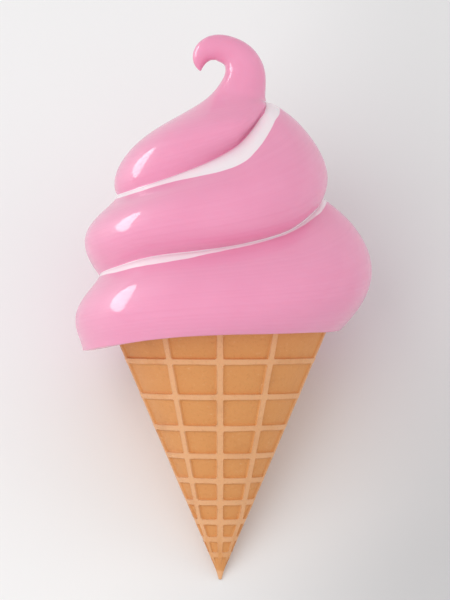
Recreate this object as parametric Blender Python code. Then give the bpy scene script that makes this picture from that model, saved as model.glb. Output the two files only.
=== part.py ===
"""A strawberry soft serve in a waffle cone, laid on its side on a table.

Both pieces are modelled upright, with the point of the cone at the origin, the axis along +Z, the side that is
looked at towards -Y and its left towards -X. An empty then lays them down with that side up.
"""

import math

import bmesh
import bpy
from mathutils import Matrix, Vector

MM = 0.001
TURN = 2 * math.pi

# The cone
CONE_SLOPE = 0.434  # radius gained for each unit of height
CONE_WALL = 3.05 * MM  # measured level, out to the top of the ribs
RIM_HEIGHT = 90.0 * MM
RIM_ROUND = 0.6 * MM
POINT_RADIUS = 0.6 * MM
POINT_ROUND = 0.35 * MM
POINT_HEIGHT = 3.7 * MM  # up to where the rounding of the point ends
INNER_FLOOR_HEIGHT = 10.5 * MM

# The waffle grid of the cone: upright ribs and level rings stand proud of its cells
RIB_COUNT = 9
RIB_HALF_WIDTH = 1.05 * MM
RIB_WIDEST_SHARE = 0.24  # of the angle from rib to rib, where the ribs crowd towards the point
RIB_SWAY = math.radians(-19)  # the grid of a baked sheet never quite runs to the point of the cone
RIB_SWAY_RISE = math.radians(710) * MM
RIB_SWAY_END = 22.0 * MM
CELL_COLUMNS = 3
RING_HALF_WIDTH = 0.9 * MM
RING_COUNT = 9
FIRST_RING_HEIGHT = 76.3 * MM
FIRST_RING_GAP = 12.1 * MM
RING_GAP_RATIO = 0.893
CELL_DEPTH = 0.9 * MM
CELL_FULL_DEPTH_RADIUS = 9.0 * MM
FLANK = 0.5 * MM  # how far a rib or ring widens from its top to its foot

# The swirl: one rope of soft serve wound upwards, with its turns counted from the right-hand side round the back.
# The crease below it is the hem on the first turn, and from the third turn on it is the foot of the neck.
COLUMNS_PER_TURN = 60
ROWS_PER_ROPE = 10
WOUND_TURNS = 3
CREASE_HEIGHTS = [
    # turns, height
    (0.00, 86.4),
    (0.25, 84.8),
    (0.50, 79.3),
    (0.75, 85.2),
    (1.00, 86.4),
    (1.25, 96.4),
    (1.50, 105.6),
    (1.58, 108.6),
    (1.65, 112.2),
    (1.75, 114.8),
    (1.85, 119.7),
    (1.93, 127.2),
    (2.00, 133.2),
    (2.25, 133.6),
    (2.50, 133.7),
    (2.75, 149.2),
    (2.82, 157.0),
    (2.89, 162.8),
    (3.00, 166.0),
    (3.25, 167.2),
    (3.50, 168.3),
    (3.75, 167.8),
    (4.00, 166.0),
]

# The rope itself: the radius of the crease below it, how far it bulges from the straight line to the crease above
# it, and how its lower and upper halves fill out: 1 is a parabola, less is rounder and more is flatter
STATIONS = [
    # turns, radius, bulge, lower and upper fullness
    (0.00, 41.4, 0.0, 0.80, 0.80),  # right: the rope starts as a thin tail on the rim
    (0.25, 40.4, 2.6, 0.74, 0.78),  # back
    (0.50, 47.9, 5.3, 1.60, 1.70),  # left
    (0.75, 48.0, 9.9, 0.80, 0.78),  # front
    (1.00, 41.4, 15.1, 1.10, 0.86),
    (1.25, 39.0, 18.2, 0.74, 0.78),
    (1.50, 42.0, 8.3, 1.10, 1.60),
    (1.75, 36.5, 14.4, 0.74, 0.78),
    (2.00, 34.7, 9.5, 0.74, 0.52),
    (2.25, 32.0, 13.6, 0.74, 1.40),
    (2.50, 37.4, 10.8, 0.85, 1.80),
    (2.75, 18.2, 6.4, 1.15, 1.60),
    (2.87, 12.5, 2.0, 1.15, 1.30),
    (3.00, 9.4, 0.0, 1.00, 1.00),  # right: the rope leaves the mound as a neck
    (4.00, 9.4, 0.0, 1.00, 1.00),
]

# The pale ribbon that runs along the rope under the crease above it, as a share of the rope's height
RIBBON_ROWS = 3
RIBBON_BULGE = 0.10  # of its width
RIBBON_WIDTHS = [
    # turns, share
    (0.00, 0.040),
    (0.50, 0.032),
    (0.56, 0.060),
    (0.61, 0.095),
    (0.66, 0.105),
    (0.70, 0.085),
    (0.74, 0.042),
    (0.79, 0.022),
    (0.85, 0.010),
    (0.90, 0.014),
    (1.00, 0.033),
    (1.25, 0.050),
    (1.50, 0.050),
    (1.60, 0.078),
    (1.65, 0.120),
    (1.70, 0.180),
    (1.74, 0.215),
    (1.77, 0.215),
    (1.80, 0.170),
    (1.84, 0.105),
    (1.88, 0.074),
    (2.00, 0.060),
    (2.25, 0.030),
    (3.00, 0.030),
]

# The neck, in the plane of the axis: across, height, radius
NECK_SHIFT_START = 2.25  # turns
NECK_CENTRE = 6.2 * MM
NECK = [(6.4, 167.4, 9.3), (8.6, 172.6, 7.6)]

# The curl bends round a hole in that plane and thins towards its tip. It is given by degrees round the hole, and how
# far its near and far sides are from the middle of the hole
HOLE_MIDDLE = (-2.4, 176.9)  # across, height
CURL = [
    (0, 3.9, 18.0),
    (25, 3.9, 16.2),
    (50, 3.9, 14.3),
    (84, 3.6, 13.0),
    (112, 3.3, 11.4),
    (136, 3.1, 9.3),
    (160, 3.4, 6.7),
    (181, 4.1, 4.6),
]
CURL_RINGS = 18
CURL_FIRST_RING = 0.07  # of the length of the neck and curl
CURL_LAST_RING = 0.99

# The underside of the swirl, which holds the rim of the cone in a slot, and the soft serve inside the cone
FIT_GAP = 0.42 * MM
HEM_RISE = 1.2 * MM
PLUG_FLOOR_HEIGHT = 12.0 * MM

# How it lies
LIE_ANGLE = math.radians(25.3)  # of the axis above the table
POINT_LIFT = 0.37 * MM

PINK = (0.85, 0.34, 0.51, 1.0)
BISCUIT = (0.68, 0.31, 0.10, 1.0)


def clear_scene():
    for obj in list(bpy.data.objects):
        bpy.data.objects.remove(obj, do_unlink=True)


def finish_material(name, colour, roughness):
    material = bpy.data.materials.new(name)
    material.use_nodes = True
    shader = material.node_tree.nodes["Principled BSDF"]
    shader.inputs["Base Color"].default_value = colour
    shader.inputs["Roughness"].default_value = roughness
    shader.inputs["Metallic"].default_value = 0.0
    return material


def smooth_through(rows, column, turns):
    """A column of the rows, whose first column is turns, joined by a cubic that never overshoots it."""
    last = len(rows) - 1
    i = 0
    while i < last - 1 and turns >= rows[i + 1][0]:
        i += 1

    def climb(k):
        k = min(max(k, 0), last - 1)
        return (rows[k + 1][column] - rows[k][column]) / (rows[k + 1][0] - rows[k][0])

    def slope(k):
        before, after = climb(k - 1), climb(k)
        return 2 * before * after / (before + after) if before * after > 0 else 0.0

    width = rows[i + 1][0] - rows[i][0]
    s = (turns - rows[i][0]) / width
    rise = s * s * (3 - 2 * s)
    bend = slope(i) * s * (1 - s) ** 2 - slope(i + 1) * s * s * (1 - s)
    return rows[i][column] * (1 - rise) + rows[i + 1][column] * rise + bend * width


def curve_through(points, place):
    """A Catmull-Rom curve through the points, at a place counted in points."""
    last = len(points) - 1
    i = min(int(place), last - 1)
    s = place - i
    before, start = points[max(i - 1, 0)], points[i]
    end, after = points[i + 1], points[min(i + 2, last)]
    return [
        0.5 * (2 * b + (c - a) * s + (2 * a - 5 * b + 4 * c - d) * s**2 + (3 * b - a - 3 * c + d) * s**3)
        for a, b, c, d in zip(before, start, end, after)
    ]


def smooth_step(low, high, value):
    share = min(max((value - low) / (high - low), 0.0), 1.0)
    return share * share * (3 - 2 * share)


def outwards(turns):
    """The level direction away from the axis. Whole turns point right, and the rope climbs anticlockwise."""
    return Vector((math.cos(turns * TURN), math.sin(turns * TURN), 0))


def crease_point(turns):
    """The bottom of the crease under the rope, or the hem on the first turn, or the neck's foot on the last."""
    height = smooth_through(CREASE_HEIGHTS, 1, turns) * MM
    radius = smooth_through(STATIONS, 1, turns) * MM
    shift = NECK_CENTRE * smooth_step(NECK_SHIFT_START, WOUND_TURNS, turns)
    return outwards(turns) * radius + Vector((shift, 0, height))


def ribbon_share(turns):
    """How much of the rope's height the pale ribbon takes up."""
    return smooth_through(RIBBON_WIDTHS, 1, turns)


def rope_point(turns, share):
    """A point on the rope's outside, at a share of the way from the crease below it to the one above."""
    low, high = crease_point(turns), crease_point(turns + 1)
    bulge = smooth_through(STATIONS, 2, turns) * MM
    fullness = smooth_through(STATIONS, 3 if share < 0.5 else 4, turns)
    return low.lerp(high, share) + outwards(turns) * bulge * (4 * share * (1 - share)) ** fullness


def ribbon_point(turns, share):
    """A point on the pale ribbon, at a share of the way from its lower edge to the crease above it."""
    foot = rope_point(turns, 1 - ribbon_share(turns))
    crease = crease_point(turns + 1)
    width = crease - foot
    out = outwards(turns)
    across = Vector((-out.y, out.x, 0)).cross(width).normalized()
    if across.z < 0:
        across.negate()
    return foot.lerp(crease, share) + across * width.length * RIBBON_BULGE * 4 * share * (1 - share)


def skin(bm, rows):
    """Faces between rows of vertices. A row runs round the axis, and each next row is further along the outline."""
    for near, far in zip(rows, rows[1:]):
        for i in range(len(near) - 1):
            corners = [near[i], near[i + 1], far[i + 1], far[i]]
            kept = [v for k, v in enumerate(corners) if v not in corners[:k]]
            if len(kept) > 2:
                bm.faces.new(kept)


def closed_row(bm, points):
    row = [bm.verts.new(p) for p in points]
    return row + row[:1]


def fan(bm, point, row):
    return [bm.verts.new(point)] * len(row)


def outline_point(turns, row):
    """A point in a row of the rope's outline: the rope itself and then the pale ribbon."""
    if row > ROWS_PER_ROPE:
        return ribbon_point(turns, (row - ROWS_PER_ROPE) / RIBBON_ROWS)
    share = (1 - math.cos(math.pi * row / (ROWS_PER_ROPE + 1))) / 2
    if row == ROWS_PER_ROPE:
        share = 1.0
    return rope_point(turns, share * (1 - ribbon_share(turns)))


def wind_rope(bm):
    """The wound rope: each crease is one row of vertices, shared by the rope below it and the rope above."""
    per_turn = COLUMNS_PER_TURN
    ends = WOUND_TURNS * per_turn
    creases = [bm.verts.new(crease_point(i / per_turn)) for i in range(ends + per_turn)]
    bm.verts.remove(creases[per_turn])
    creases[per_turn] = creases[0]  # the tail has no thickness where it starts
    creases.append(creases[ends])  # nor has the crease where it meets the neck
    rows = [creases[: ends + 1]]
    for j in range(1, ROWS_PER_ROPE + RIBBON_ROWS):
        points = [outline_point(i / per_turn, j) for i in range(1, ends)]
        rows.append([creases[0], *[bm.verts.new(p) for p in points], creases[ends]])
    rows.append(creases[per_turn:])
    skin(bm, rows)
    hem = [*creases[:per_turn], creases[0]]
    neck = creases[ends:]
    return hem, neck


def curl_line():
    """The line through the middle of the neck and the curl: across, height, radius."""
    points = list(NECK)
    for degrees, near, far in CURL:
        angle = math.radians(degrees)
        reach = (near + far) / 2
        across = HOLE_MIDDLE[0] + reach * math.cos(angle)
        height = HOLE_MIDDLE[1] + reach * math.sin(angle)
        points.append((across, height, (far - near) / 2))
    return points


def curl_ring(line, place):
    """The points of one ring of the neck or curl, square to the line through its middle."""
    across, height, radius = (value * MM for value in curve_through(line, place))
    step = 0.01
    ahead = curve_through(line, place + step)
    behind = curve_through(line, place - step)
    along = Vector((ahead[0] - behind[0], 0, ahead[1] - behind[1])).normalized()
    side = Vector((along.z, 0, -along.x))
    middle = Vector((across, 0, height))
    angles = [TURN * i / COLUMNS_PER_TURN for i in range(COLUMNS_PER_TURN)]
    return [middle + radius * (math.cos(a) * side + Vector((0, math.sin(a), 0))) for a in angles]


def grow_curl(bm, neck):
    line = curl_line()
    last = len(line) - 1
    rows = [neck]
    for i in range(1, CURL_RINGS + 1):
        place = last * (CURL_FIRST_RING + (CURL_LAST_RING - CURL_FIRST_RING) * i / CURL_RINGS)
        rows.append(closed_row(bm, curl_ring(line, place)))
    across, height, _ = line[-1]
    rows.append(fan(bm, (across * MM, 0, height * MM), neck))
    skin(bm, rows)


def ring_points(height_of, radius_of):
    turns = [i / COLUMNS_PER_TURN for i in range(COLUMNS_PER_TURN)]
    points = []
    for t in turns:
        height = height_of(t)
        points.append(outwards(t) * radius_of(height) + Vector((0, 0, height)))
    return points


def close_underside(bm, hem):
    """The underside: in from the hem, up and over the rim of the cone, and down its inside."""

    def outside_cone(height):
        return CONE_SLOPE * height + FIT_GAP

    def inside_cone(height):
        return CONE_SLOPE * height - CONE_WALL - FIT_GAP

    def hem_inside(turns):
        return min(crease_point(turns).z + HEM_RISE, RIM_HEIGHT - HEM_RISE)

    def slot_top(_):
        return RIM_HEIGHT + FIT_GAP

    def plug_floor(_):
        return PLUG_FLOOR_HEIGHT

    plug = closed_row(bm, ring_points(plug_floor, inside_cone))
    rows = [
        fan(bm, (0, 0, PLUG_FLOOR_HEIGHT), plug),
        plug,
        closed_row(bm, ring_points(slot_top, inside_cone)),
        closed_row(bm, ring_points(slot_top, outside_cone)),
        closed_row(bm, ring_points(hem_inside, outside_cone)),
        hem,
    ]
    skin(bm, rows)


def soft_serve_mesh():
    bm = bmesh.new()
    hem, neck = wind_rope(bm)
    grow_curl(bm, neck)
    close_underside(bm, hem)
    return bm


def ring_heights():
    heights, gap = [FIRST_RING_HEIGHT], FIRST_RING_GAP
    for _ in range(RING_COUNT - 1):
        heights.append(heights[-1] - gap)
        gap *= RING_GAP_RATIO
    return heights


def cone_rows():
    """The grid's rows from the point up: height, and whether the row is on top of a ring."""
    rows = []
    for height in reversed(ring_heights()):
        for offset, on_top in ((-1, False), (-1, True), (1, True), (1, False)):
            flank = 0 if on_top else FLANK * offset
            rows.append((height + offset * RING_HALF_WIDTH + flank, on_top))
    rim_foot = RIM_HEIGHT - RING_HALF_WIDTH * 2
    rows.append((rim_foot - FLANK, False))
    rows.append((rim_foot, True))
    rows.append((RIM_HEIGHT - RIM_ROUND, True))
    return rows


def rib_angle(number, height):
    """The angle of a rib at a height. Rib 0 is at the front."""
    straight = TURN * number / RIB_COUNT
    sway = RIB_SWAY + RIB_SWAY_RISE / max(height, RIB_SWAY_END)
    fade = (1 + math.cos(straight)) / 2
    return -TURN / 4 + straight + sway * fade * math.sin(2 * straight)


def cone_columns(height):
    """The grid's columns at this height: angle, and whether the column is on top of a rib."""
    radius = CONE_SLOPE * height
    widest = TURN / RIB_COUNT * RIB_WIDEST_SHARE
    top = min(RIB_HALF_WIDTH / radius, widest)
    foot = min((RIB_HALF_WIDTH + FLANK) / radius, widest * (1 + FLANK / RIB_HALF_WIDTH))
    columns = []
    for number in range(RIB_COUNT):
        middle = rib_angle(number, height)
        sides = ((-foot, False), (-top, True), (top, True), (foot, False))
        columns += [(middle + side, on_top) for side, on_top in sides]
        cell = rib_angle(number + 1, height) - middle - 2 * foot
        for i in range(CELL_COLUMNS):
            columns.append((middle + foot + cell * (i + 1) / (CELL_COLUMNS + 1), False))
    return columns


def cone_ring(height, on_ring, shrink=0.0):
    """The points round the cone at a height, sunk between the ribs unless the row is on top of a ring."""
    outer = CONE_SLOPE * height
    depth = CELL_DEPTH * min(outer / CELL_FULL_DEPTH_RADIUS, 1.0)
    points = []
    for angle, on_rib in cone_columns(height):
        radius = outer - shrink - (0 if on_rib or on_ring else depth)
        points.append((radius * math.cos(angle), radius * math.sin(angle), height))
    return points


def inner_floor_points():
    """The points round the floor inside, straight down the wall from those round the rim."""
    radius = CONE_SLOPE * INNER_FLOOR_HEIGHT - CONE_WALL
    angles = [angle for angle, _ in cone_columns(RIM_HEIGHT)]
    return [(radius * math.cos(a), radius * math.sin(a), INNER_FLOOR_HEIGHT) for a in angles]


def waffle_cone_mesh():
    bm = bmesh.new()
    point = [(x, y, POINT_ROUND) for x, y, _ in cone_ring(POINT_RADIUS / CONE_SLOPE, True)]
    tip = closed_row(bm, point)
    rows = [fan(bm, (0, 0, 0), tip), tip, closed_row(bm, cone_ring(POINT_HEIGHT, True))]
    rows += [closed_row(bm, cone_ring(height, on_top)) for height, on_top in cone_rows()]
    rows.append(closed_row(bm, cone_ring(RIM_HEIGHT, True, RIM_ROUND)))
    rows.append(closed_row(bm, cone_ring(RIM_HEIGHT, True, CONE_WALL)))
    floor = closed_row(bm, inner_floor_points())
    rows += [floor, fan(bm, (0, 0, INNER_FLOOR_HEIGHT), floor)]
    skin(bm, rows)
    return bm


def laid_down():
    """From the upright model to the table: the back goes down and the axis rises by the lie angle."""
    turn = Matrix.Rotation(LIE_ANGLE - TURN / 4, 4, "X")
    return Matrix.Translation((0, 0, POINT_LIFT)) @ turn


def press_flat(bm, lay):
    """What would reach through the table is pressed flat against it."""
    back = lay.inverted()
    for vertex in bm.verts:
        placed = lay @ vertex.co
        if placed.z < 0:
            placed.z = 0
            vertex.co = back @ placed


def add_piece(name, bm, material, parent):
    bmesh.ops.recalc_face_normals(bm, faces=bm.faces)
    mesh = bpy.data.meshes.new(name)
    bm.to_mesh(mesh)
    bm.free()
    mesh.materials.append(material)
    mesh.shade_smooth()
    mesh.set_sharp_from_angle(angle=math.radians(40))
    piece = bpy.data.objects.new(name, mesh)
    bpy.context.collection.objects.link(piece)
    piece.parent = parent
    return piece


def centre_over_origin(holder, pieces):
    """Moves the whole so that its box stands centred on the origin."""
    bpy.context.view_layer.update()
    corners = [p.matrix_world @ v.co for p in pieces for v in p.data.vertices]
    for axis in (0, 1):
        low = min(c[axis] for c in corners)
        high = max(c[axis] for c in corners)
        holder.location[axis] -= (low + high) / 2


def main():
    clear_scene()
    lay = laid_down()
    holder = bpy.data.objects.new("laid_down", None)
    bpy.context.collection.objects.link(holder)
    holder.location = lay.to_translation()
    holder.rotation_euler = lay.to_euler()
    swirl = soft_serve_mesh()
    cone = waffle_cone_mesh()
    press_flat(swirl, lay)
    press_flat(cone, lay)
    pieces = [
        add_piece("soft_serve", swirl, finish_material("strawberry_ice", PINK, 0.35), holder),
        add_piece("waffle_cone", cone, finish_material("baked_waffle", BISCUIT, 0.7), holder),
    ]
    centre_over_origin(holder, pieces)


main()
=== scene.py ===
"""Strawberry soft serve in a waffle cone, lying on a pale table with its shown side up."""

import functools
import math

import bpy
from mathutils import Matrix, Vector, noise


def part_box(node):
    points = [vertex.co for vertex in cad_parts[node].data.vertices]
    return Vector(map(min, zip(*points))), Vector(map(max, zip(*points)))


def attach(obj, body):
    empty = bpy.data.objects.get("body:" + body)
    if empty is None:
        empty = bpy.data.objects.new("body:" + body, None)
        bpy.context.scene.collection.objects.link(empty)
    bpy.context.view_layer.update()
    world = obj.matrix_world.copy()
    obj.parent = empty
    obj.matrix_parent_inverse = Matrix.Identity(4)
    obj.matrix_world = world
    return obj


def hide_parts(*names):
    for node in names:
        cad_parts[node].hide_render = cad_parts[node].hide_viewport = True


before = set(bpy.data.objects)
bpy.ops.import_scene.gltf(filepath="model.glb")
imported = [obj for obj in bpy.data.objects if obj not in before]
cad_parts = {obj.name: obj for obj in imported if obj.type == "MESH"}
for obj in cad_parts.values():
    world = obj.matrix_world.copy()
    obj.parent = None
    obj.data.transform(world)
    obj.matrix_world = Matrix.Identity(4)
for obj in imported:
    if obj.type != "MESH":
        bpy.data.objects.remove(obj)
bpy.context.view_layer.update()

MM = 0.001
TURN = 2 * math.pi
MERGE_DISTANCE = 0.002 * MM

# The upright cone: its point is the origin and its axis is +Z. It lies with its back down.
LIE_ANGLE = math.radians(25.3)  # of the axis above the table
CONE_SLOPE = 0.434
CELL_DEPTH = 0.9 * MM
CELL_FULL_DEPTH_RADIUS = 9.0 * MM
CONE_EDGE_ROUNDING = 0.2 * MM
CONE_EDGE_ANGLE = math.radians(22)  # edges sharper than this are rounded

# The creases between the rope's turns: turns, from the right round the back, and millimetres above the point
CREASE_HEIGHTS = [
    (0.00, 86.4), (0.25, 84.8), (0.50, 79.3), (0.75, 85.2), (1.00, 86.4), (1.25, 96.4), (1.50, 105.6),
    (1.58, 108.6), (1.65, 112.2), (1.75, 114.8), (1.85, 119.7), (1.93, 127.2), (2.00, 133.2), (2.25, 133.6),
    (2.50, 133.7), (2.75, 149.2), (2.82, 157.0), (2.89, 162.8), (3.00, 166.0), (3.25, 167.2), (3.50, 168.3),
    (3.75, 167.8), (4.00, 166.0),
]
WOUND_TURNS = 3
WINDING_ROUNDS = 5  # of working out where a place is along the rope
THINNEST_ROPE = 0.05 * MM
CREASE_DOUBT = 0.4 * MM  # this near to a crease, a face is above it if it faces down, and else below it
MID_ROPE = 0.5  # share of the rope's height that the underside and the curl take their streaks from

# The neck, into which the last turn narrows
NECK_SHIFT_START = 2.25  # turns
NECK_CENTRE = 6.2 * MM
NECK_SEAM = (160 * MM, 177 * MM)  # where the top of the mound turns into the neck
NECK_SEAM_RIGHT = 15 * MM  # past this, the crease beside the neck stays sharp
NECK_SMOOTHINGS = 14
CURL_TIP = (-3 * MM, 173 * MM)  # left of this and above it, the tip of the curl stays sharp

# The band of painted highlight under each crease, a pale colour standing in for light on the turn's
# shoulder: turns, and its share of the rope's height
HIGHLIGHT_BAND_WIDTHS = [
    (0.00, 0.040), (0.50, 0.032), (0.56, 0.060), (0.61, 0.095), (0.66, 0.105), (0.70, 0.085), (0.74, 0.042),
    (0.79, 0.022), (0.85, 0.010), (0.90, 0.014), (1.00, 0.033), (1.25, 0.050), (1.50, 0.050), (1.60, 0.078),
    (1.65, 0.120), (1.70, 0.180), (1.74, 0.210), (1.77, 0.205), (1.80, 0.158), (1.84, 0.097), (1.88, 0.069),
    (1.94, 0.056), (2.00, 0.050), (2.25, 0.030), (3.00, 0.030),
]
HIGHLIGHT_BAND_FADE = (2.02, 2.30)  # turns between which it sinks into the pink
NECK_FALL = 6  # how much faster it sinks past the crease, where the mound turns into the neck
FAR_FROM_HIGHLIGHT_BAND = -5.0  # millimetres

# The hem, where the rope hangs over the rim of the cone
HEM_HEIGHTS = (70 * MM, 91 * MM)
HEM_GAPS = (0.1 * MM, 2.5 * MM)  # between the waffle and what is drawn in
HEM_FULL_PULL_GAP = 0.6 * MM
HEM_PULL = 1.5 * MM

LYING_FLAT = 0.4 * MM  # what is lower than this rests on the table and stays flat

# The picture: how much of the upright cone it takes in, and from how far
PICTURE_HEIGHT = 208.6 * MM
PICTURE_CENTRE = Vector((1.7, 0, 97.3)) * MM
CAMERA_DISTANCE = 1.2
CAMERA_REACH = (0.05, 20)
SENSOR = 36


def only(piece):
    """Leaves just this piece selected and active."""
    bpy.ops.object.select_all(action="DESELECT")
    piece.select_set(True)
    bpy.context.view_layer.objects.active = piece


def carried_over(node):
    """A copy of a node's mesh, merged and turned back into quads, that stands in for it."""
    piece = bpy.data.objects.new(node + "_dressed", bpy.data.objects[node].data.copy())
    bpy.context.collection.objects.link(piece)
    piece.data.materials.clear()
    only(piece)
    bpy.ops.object.mode_set(mode="EDIT")
    bpy.ops.mesh.select_all(action="SELECT")
    bpy.ops.mesh.customdata_custom_splitnormals_clear()
    bpy.ops.mesh.remove_doubles(threshold=MERGE_DISTANCE)
    bpy.ops.mesh.tris_convert_to_quads(face_threshold=math.pi, shape_threshold=math.pi)
    bpy.ops.mesh.normals_make_consistent(inside=False)
    bpy.ops.object.mode_set(mode="OBJECT")
    for attribute in list(piece.data.attributes):
        if attribute.name.startswith("sharp"):
            piece.data.attributes.remove(attribute)
    return piece


def smoothed(piece, levels):
    only(piece)
    bpy.ops.object.modifier_add(type="SUBSURF")
    subdivision = piece.modifiers[-1]
    subdivision.levels = levels
    subdivision.render_levels = levels
    bpy.ops.object.modifier_apply(modifier=subdivision.name)
    bpy.ops.object.shade_smooth()


def held_between(low, value, high):
    return min(max(value, low), high)


def smooth_step(low, high, value):
    share = held_between(0.0, (value - low) / (high - low), 1.0)
    return share * share * (3 - 2 * share)


def smooth_through(rows, turns):
    """The rows' value at some turns, by a cubic through them that never overshoots."""
    last = len(rows) - 1
    i = 0
    while i < last - 1 and turns >= rows[i + 1][0]:
        i += 1

    def climb(k):
        k = held_between(0, k, last - 1)
        return (rows[k + 1][1] - rows[k][1]) / (rows[k + 1][0] - rows[k][0])

    def slope(k):
        before, after = climb(k - 1), climb(k)
        return 2 * before * after / (before + after) if before * after > 0 else 0.0

    width = rows[i + 1][0] - rows[i][0]
    s = (turns - rows[i][0]) / width
    rise = s * s * (3 - 2 * s)
    bend = slope(i) * s * (1 - s) ** 2 - slope(i + 1) * s * s * (1 - s)
    return rows[i][1] * (1 - rise) + rows[i + 1][1] * rise + bend * width


# Where things are


def point_of_cone():
    """The point is as far towards -Y as the cone reaches."""
    mesh = bpy.data.objects["waffle_cone"].data
    return min((v.co for v in mesh.vertices), key=lambda place: place.y).copy()


LYING = Matrix.Translation(point_of_cone()) @ Matrix.Rotation(LIE_ANGLE - TURN / 4, 4, "X")
UPRIGHT = LYING.inverted()


def around(place):
    """The part of a turn that an upright place is at, counted from the right round the back."""
    return math.atan2(place.y, place.x) / TURN % 1.0


def crease_height(turns):
    return smooth_through(CREASE_HEIGHTS, turns) * MM


def neck_shift(turns):
    """How far towards the neck the middle of the winding has moved."""
    return NECK_CENTRE * smooth_step(NECK_SHIFT_START, WOUND_TURNS, turns)


def along_rope(place, turns):
    """Turns along the rope and share of its height, for an upright place within half a turn of turns."""
    for _ in range(WINDING_ROUNDS):
        low, high = crease_height(turns), crease_height(turns + 1)
        share = (place.z - low) / max(high - low, THINNEST_ROPE)
        held = held_between(0.0, share, 1.0)
        shift = neck_shift(turns) * (1 - held) + neck_shift(turns + 1) * held
        part = around(place - Vector((shift, 0, 0)))
        turns = part + round(turns - part)
    return turns, share


# The strawberry soft serve


def mark_turns(piece):
    """Notes on each face which turn of the rope it is on, from 0, or -1 on the underside and the curl."""
    marks = piece.data.attributes.new("turn", "INT", "FACE")
    stood_up = UPRIGHT.to_3x3()
    for face, mark in zip(piece.data.polygons, marks.data):
        centre = UPRIGHT @ face.center
        faces_up = (stood_up @ face.normal).z > 0
        centre.z += -CREASE_DOUBT if faces_up else CREASE_DOUBT
        shares = [along_rope(centre, around(centre) + number)[1] for number in range(WOUND_TURNS)]
        reached = sum(share >= 0 for share in shares)
        mark.value = reached - 1 if shares[-1] <= 1 else -1


def blend_neck(piece):
    """Smooths away the seam between the top of the mound and the neck."""
    only(piece)
    bpy.ops.object.mode_set(mode="EDIT")
    bpy.ops.mesh.select_mode(type="VERT")
    bpy.ops.mesh.select_all(action="DESELECT")
    bpy.ops.object.mode_set(mode="OBJECT")
    for vertex in piece.data.vertices:
        place = UPRIGHT @ vertex.co
        in_seam = NECK_SEAM[0] < place.z < NECK_SEAM[1] and place.x < NECK_SEAM_RIGHT
        in_tip = place.x < CURL_TIP[0] and place.z > CURL_TIP[1]
        vertex.select = in_seam and not in_tip
    bpy.ops.object.mode_set(mode="EDIT")
    bpy.ops.mesh.vertices_smooth(factor=0.5, repeat=NECK_SMOOTHINGS)
    bpy.ops.object.mode_set(mode="OBJECT")


def above_ribbon_edge(turns, share):
    """Millimetres from the lower edge of the painted highlight band up to a share of the rope's height."""
    height = crease_height(turns + 1) - crease_height(turns)
    fade = smooth_step(*HIGHLIGHT_BAND_FADE, turns)
    width = smooth_through(HIGHLIGHT_BAND_WIDTHS, turns) * (1 - fade)
    share = min(share, 1 + NECK_FALL * fade * (1 - share))
    return max((share - 1 + width) * height / MM - fade, FAR_FROM_HIGHLIGHT_BAND)


def lay_out_rope(piece):
    """Unrolls the rope on a UV map, turns along U and share of its height along V, and marks the painted
    highlight band.
    """
    mesh = piece.data
    while mesh.uv_layers:
        mesh.uv_layers.remove(mesh.uv_layers[0])
    mesh.uv_layers.new(name="rope")
    # This attribute holds where the pale band of painted highlight lies on the rope
    mesh.attributes.new("ribbon", "FLOAT", "CORNER")
    layer, ribbon = mesh.uv_layers["rope"], mesh.attributes["ribbon"]
    places = [UPRIGHT @ v.co for v in mesh.vertices]

    @functools.cache
    def spot(vertex, whole_turns):
        turns, share = along_rope(places[vertex], around(places[vertex]) + whole_turns)
        return turns, share, above_ribbon_edge(turns, share)

    for face, mark in zip(mesh.polygons, mesh.attributes["turn"].data):
        centre = UPRIGHT @ face.center
        number = mark.value
        middle = around(centre) + (number if number >= 0 else WOUND_TURNS)
        for loop, vertex in zip(face.loop_indices, face.vertices):
            whole_turns = round(middle - around(places[vertex]))
            if number >= 0:
                turns, share, above = spot(vertex, whole_turns)
            else:
                turns, share, above = around(places[vertex]) + whole_turns, MID_ROPE, FAR_FROM_HIGHLIGHT_BAND
            layer.data[loop].uv = (turns, held_between(0.0, share, 1.0))
            ribbon.data[loop].value = above


def settle_against_cone(piece):
    """Draws the hem in until it meets the waffle, and leaves the rim slot's walls, which are inside it."""
    for vertex in piece.data.vertices:
        place = UPRIGHT @ vertex.co
        radius = math.hypot(place.x, place.y)
        gap = radius - CONE_SLOPE * place.z
        in_hem = HEM_HEIGHTS[0] <= place.z <= HEM_HEIGHTS[1]
        if not in_hem or not HEM_GAPS[0] <= gap <= HEM_GAPS[1]:
            continue
        pull = HEM_PULL * (1 - smooth_step(HEM_FULL_PULL_GAP, HEM_GAPS[1], gap))
        place.x *= (radius - pull) / radius
        place.y *= (radius - pull) / radius
        vertex.co = LYING @ place


def make_uneven(piece, depth, size, shift):
    """Sinks the surface here and there, in dents of this size, and never lifts it."""
    normals = [v.normal.copy() for v in piece.data.vertices]
    for vertex, normal in zip(piece.data.vertices, normals):
        if vertex.co.z < LYING_FLAT:
            continue
        sink = 0.5 + 0.5 * noise.noise(vertex.co / size + Vector(shift))
        vertex.co -= normal * depth * sink


def keep_within(piece, box):
    """Nothing stands past the solid that the piece was made from."""
    low, high = box
    for vertex in piece.data.vertices:
        for axis in range(3):
            vertex.co[axis] = held_between(low[axis], vertex.co[axis], high[axis])


def make_soft_serve():
    piece = carried_over("soft_serve")
    mark_turns(piece)
    blend_neck(piece)
    smoothed(piece, 2)
    lay_out_rope(piece)
    settle_against_cone(piece)
    make_uneven(piece, depth=0.25 * MM, size=14 * MM, shift=(3.1, 2.17, 4.03))
    keep_within(piece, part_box("soft_serve"))
    piece.data.materials.append(strawberry_finish())
    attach(piece, "root")
    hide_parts("soft_serve")


# The waffle cone


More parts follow.
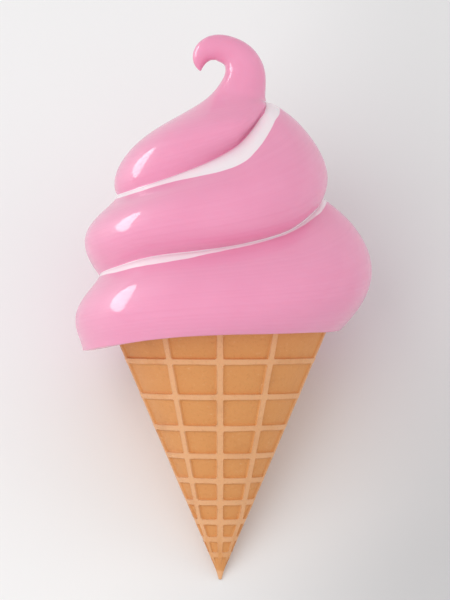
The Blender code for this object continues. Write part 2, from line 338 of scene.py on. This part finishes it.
def make_waffle_cone():
    piece = carried_over("waffle_cone")
    only(piece)
    bpy.ops.object.modifier_add(type="BEVEL")
    rounding = piece.modifiers[-1]
    rounding.width = CONE_EDGE_ROUNDING
    rounding.segments = 2
    rounding.limit_method = "ANGLE"
    rounding.angle_limit = CONE_EDGE_ANGLE
    bpy.ops.object.modifier_apply(modifier=rounding.name)
    smoothed(piece, 1)
    make_uneven(piece, depth=0.2 * MM, size=6 * MM, shift=(8.3, 5.81, 10.79))
    keep_within(piece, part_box("waffle_cone"))
    piece.data.materials.append(waffle_finish())
    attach(piece, "root")
    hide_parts("waffle_cone")


# Finishes


class Signal:
    """A value in a material. Arithmetic on it adds Math nodes."""

    def __init__(self, finish, socket):
        self.finish = finish
        self.socket = socket

    def worked(self, operation, *values, clamp=False):
        settings = {"operation": operation, "use_clamp": clamp}
        return self.finish.node("ShaderNodeMath", settings, *values)

    def __add__(self, other):
        return self.worked("ADD", self, other)

    def __sub__(self, other):
        return self.worked("SUBTRACT", self, other)

    def __mul__(self, other):
        return self.worked("MULTIPLY", self, other)

    def __truediv__(self, other):
        return self.worked("DIVIDE", self, other)

    def __rsub__(self, other):
        return self.worked("SUBTRACT", other, self)

    __radd__ = __add__
    __rmul__ = __mul__

    def clamped(self):
        return self.worked("ADD", self, 0.0, clamp=True)

    def least(self, other):
        return self.worked("MINIMUM", self, other)

    def to_power(self, other):
        return self.worked("POWER", self, other)

    def stepped(self, low, high):
        """0 below low, 1 above high and smooth between."""
        settings = {"interpolation_type": "SMOOTHSTEP", "clamp": True}
        return self.finish.node("ShaderNodeMapRange", settings, self, low, high, 0.0, 1.0)


def away_from_axis(x, y):
    return (x * x + y * y).to_power(0.5)


class Finish:
    """A material under construction."""

    def __init__(self, name, **constants):
        self.material = bpy.data.materials.new(name)
        self.material.use_nodes = True
        self.nodes = self.material.node_tree.nodes
        self.links = self.material.node_tree.links
        self.shader = self.nodes["Principled BSDF"]
        self.wear(**constants)

    def node(self, kind, settings, *values, output=0, **named):
        """Adds a node: its settings, then its inputs in order or by name. A None leaves an input alone."""
        made = self.nodes.new(kind)
        for name, value in settings.items():
            setattr(made, name, value)
        inputs = list(enumerate(values)) + [(key.replace("_", " "), value) for key, value in named.items()]
        for key, value in inputs:
            if value is not None:
                self.feed(made.inputs[key], value)
        return Signal(self, made.outputs[output])

    def feed(self, socket, value):
        if isinstance(value, Signal):
            self.links.new(value.socket, socket)
        else:
            socket.default_value = value

    def wear(self, **fed):
        """Feeds the shader's own sockets, by value or by link."""
        for name, value in fed.items():
            self.feed(self.shader.inputs[name.replace("_", " ")], value)

    def place(self):
        return self.node("ShaderNodeTexCoord", {}, output="Object")

    def upright(self):
        """Where a point of the piece is once the cone is stood up, in metres above its point."""
        where = self.place()
        mapping = {"vector_type": "POINT"}
        return self.node("ShaderNodeMapping", mapping, where, UPRIGHT.to_translation(), UPRIGHT.to_euler())

    def parts_of(self, vector):
        split = self.node("ShaderNodeSeparateXYZ", {}, vector)
        return [Signal(self, part) for part in split.socket.node.outputs]

    def stretched(self, vector, scale):
        return self.node("ShaderNodeVectorMath", {"operation": "MULTIPLY"}, vector, scale)

    def clouds(self, vector, scale, detail=3.0, roughness=0.5):
        """Soft noise about 0.5, with this many clouds to the unit."""
        return self.node("ShaderNodeTexNoise", {}, vector, None, scale, detail, roughness)

    def blended(self, share, colour, other):
        """One colour where the share is 0, and the other where it is 1."""
        settings = {"data_type": "RGBA", "blend_type": "MIX", "clamp_factor": True}
        unused = [None] * 5
        return self.node("ShaderNodeMix", settings, share, *unused, colour, other, output=2)

    def bumps(self, height, distance, strength, normal=None):
        inputs = {"Strength": strength, "Distance": distance, "Height": height, "Normal": normal}
        return self.node("ShaderNodeBump", {}, **inputs)


PINK = (0.840, 0.325, 0.500, 1)
DEEPER_PINK = (0.790, 0.270, 0.440, 1)
DEEPER_PINK_START = 0.32
DEEPER_PINK_GAIN = 1.6
# Painted highlight: a pale colour that stands in for light caught on each turn's shoulder by the crease
PAINTED_HIGHLIGHT = (0.900, 0.800, 0.840, 1)
HIGHLIGHT_BAND_WAVER = 0.25  # millimetres over which its edge wanders
HIGHLIGHT_BAND_SOFTNESS = 0.15  # millimetres to either side of its edge


def strawberry_finish():
    """Moist strawberry ice: streaks along the rope, fine air bubbles, and a pale band of painted highlight
    by each crease.
    """
    finish = Finish(
        "strawberry_ice",
        Subsurface_Weight=0.25,
        Subsurface_Radius=(1.0, 0.55, 0.6),
        Subsurface_Scale=2.5 * MM,
        Coat_Roughness=0.07,
        IOR=1.36,
    )
    rope = finish.node("ShaderNodeUVMap", {"uv_map": "rope"})
    where = finish.place()

    waver = finish.clouds(where, scale=260.0, detail=2.0) - 0.5
    above = finish.node("ShaderNodeAttribute", {"attribute_name": "ribbon"}, output="Fac")
    # Where the painted highlight band lies, with a wavering soft edge
    ribbon = (above + waver * HIGHLIGHT_BAND_WAVER).stepped(-HIGHLIGHT_BAND_SOFTNESS, HIGHLIGHT_BAND_SOFTNESS)

    streaks = finish.clouds(finish.stretched(rope, (2.5, 26.0, 1.0)), scale=1.0, detail=4.0, roughness=0.6)
    drifts = finish.clouds(where, scale=55.0)
    bubbles = finish.clouds(where, scale=1500.0, detail=2.0, roughness=0.6)

    deeper = (drifts * 0.5 + streaks * 0.5 - DEEPER_PINK_START) * DEEPER_PINK_GAIN
    pink = finish.blended(deeper.clamped(), PINK, DEEPER_PINK)
    relief = finish.bumps(streaks, distance=0.25 * MM, strength=0.5)
    relief = finish.bumps(bubbles, distance=0.03 * MM, strength=0.5, normal=relief)
    finish.wear(
        Base_Color=finish.blended(ribbon, pink, PAINTED_HIGHLIGHT),
        Roughness=0.40 + 0.16 * drifts,
        Coat_Weight=0.50 + 0.25 * streaks,
        Normal=relief,
    )
    return finish.material


BAKED_CELL = (0.690, 0.300, 0.095, 1)
BAKED_RIB = (0.775, 0.405, 0.195, 1)
RIB_FLANK = (0.35, 0.85)  # shares of the cells' depth between which the cell's colour turns into the rib's
TOASTED = (0.430, 0.150, 0.040, 1)
TOASTED_PATCHES = 0.35  # how strongly they colour the waffle
TOASTED_SPECKS = 0.22
CRUMB = (0.820, 0.480, 0.240, 1)
PALE_SPECKS = 0.4


def waffle_finish():
    """Crisp baked waffle: pale ribs and rings, darker cells, toasted patches, and a fine dry crumb."""
    finish = Finish(
        "baked_waffle",
        Subsurface_Weight=0.06,
        Subsurface_Radius=(1.0, 0.5, 0.25),
        Subsurface_Scale=MM,
    )
    where = finish.upright()
    x, y, z = finish.parts_of(where)
    radius = away_from_axis(x, y)
    outer = z * CONE_SLOPE
    depth = (outer / CELL_FULL_DEPTH_RADIUS).least(1.0) * CELL_DEPTH
    proud = (1.0 - (outer - radius) / depth).stepped(*RIB_FLANK)

    patches = finish.clouds(where, scale=70.0, detail=4.0, roughness=0.6)
    crumb = finish.clouds(where, scale=900.0, detail=4.0, roughness=0.65)
    grains = finish.clouds(where, scale=2600.0, detail=2.0)
    pits = finish.node("ShaderNodeTexVoronoi", {"feature": "F1"}, where, Scale=620.0)

    baked = finish.blended(proud, BAKED_CELL, BAKED_RIB)
    baked = finish.blended(patches.stepped(0.50, 0.85) * TOASTED_PATCHES, baked, TOASTED)
    baked = finish.blended(crumb.stepped(0.56, 0.70) * TOASTED_SPECKS, baked, TOASTED)
    baked = finish.blended((1.0 - crumb).stepped(0.60, 0.72) * PALE_SPECKS, baked, CRUMB)

    relief = finish.bumps(crumb, distance=0.35 * MM, strength=0.6)
    relief = finish.bumps(grains, distance=0.06 * MM, strength=0.6, normal=relief)
    relief = finish.bumps(pits.stepped(0.10, 0.32), distance=0.12 * MM, strength=0.6, normal=relief)
    finish.wear(Base_Color=baked, Roughness=0.56 + 0.24 * crumb, Normal=relief)
    return finish.material


# The studio

FLOOR = (0.860, 0.860, 0.860, 1)
# Painted shade: the floor's colour to the right of the cone, greyer where the light from the left falls off
FLOOR_PAINTED_SHADE = (0.580, 0.580, 0.585, 1)
FLOOR_SIZE = 6.0
ROOM_LIGHT = 0.72
LIT_MIDDLE = Vector((0, 0.02, 0.04))


def floor_finish():
    """Pale and matt, with painted shade: a greyer patch to the right of the cone, where the light from the
    left falls off.
    """
    finish = Finish("pale_table", Roughness=0.7)
    x, y, _ = finish.parts_of(finish.place())
    to_right = x.stepped(0.0, 0.08)
    to_near_right = (x - y).stepped(0.04, 0.16)
    far_off = away_from_axis(x, y).stepped(0.14, 0.50)
    # Painted shade: how far the floor's colour turns towards the greyer shade
    painted_shade = (0.35 * to_right + 0.65 * to_near_right) * (1.0 - far_off)
    finish.wear(Base_Color=finish.blended(painted_shade, FLOOR, FLOOR_PAINTED_SHADE))
    return finish.material


def lay_floor():
    bpy.ops.object.select_all(action="DESELECT")
    bpy.ops.mesh.primitive_plane_add(size=FLOOR_SIZE, location=(0, 0, 0))
    floor = bpy.context.active_object
    floor.name = "table_top"
    floor.data.materials.append(floor_finish())


def add_softbox(name, place, width, height, power, shape="RECTANGLE"):
    lamp = bpy.data.lights.new(name, "AREA")
    lamp.shape = shape
    lamp.size = width
    lamp.size_y = height
    lamp.energy = power
    box = bpy.data.objects.new(name, lamp)
    bpy.context.collection.objects.link(box)
    box.location = place
    box.rotation_euler = (LIT_MIDDLE - Vector(place)).to_track_quat("-Z", "Y").to_euler()
    return box


def light_studio():
    """Soft light all round, and a low strip on the left that is seen only as gloss."""
    world = bpy.data.worlds.new("pale_room")
    world.use_nodes = True
    background = world.node_tree.nodes["Background"]
    background.inputs["Color"].default_value = (1, 1, 1, 1)
    background.inputs["Strength"].default_value = ROOM_LIGHT
    bpy.context.scene.world = world
    key = add_softbox("key", (-0.50, -0.20, 0.80), width=0.9, height=0.9, power=4.0)
    key.visible_glossy = False
    fill = add_softbox("fill", (0.80, -0.10, 0.26), width=0.5, height=0.3, power=1.1)
    fill.visible_glossy = False
    strip_place = (-0.64, 0.26, 0.12)
    strip = add_softbox("gloss_strip", strip_place, width=0.60, height=0.23, power=3.0, shape="ELLIPSE")
    strip.visible_diffuse = False
    bpy.context.scene.view_settings.view_transform = "Standard"


def set_camera():
    """Looks straight at the shown side, square to the cone's axis."""
    lens = bpy.data.cameras.new("camera")
    camera = bpy.data.objects.new("camera", lens)
    bpy.context.collection.objects.link(camera)
    target = LYING @ PICTURE_CENTRE
    towards = LYING.to_3x3() @ Vector((0, -1, 0))
    camera.location = target + towards * CAMERA_DISTANCE
    camera.rotation_euler = (LIE_ANGLE, 0, 0)
    lens.sensor_width = SENSOR
    lens.lens = SENSOR * CAMERA_DISTANCE / PICTURE_HEIGHT
    lens.clip_start, lens.clip_end = CAMERA_REACH
    bpy.context.scene.camera = camera


make_soft_serve()
make_waffle_cone()
lay_floor()
light_studio()
set_camera()
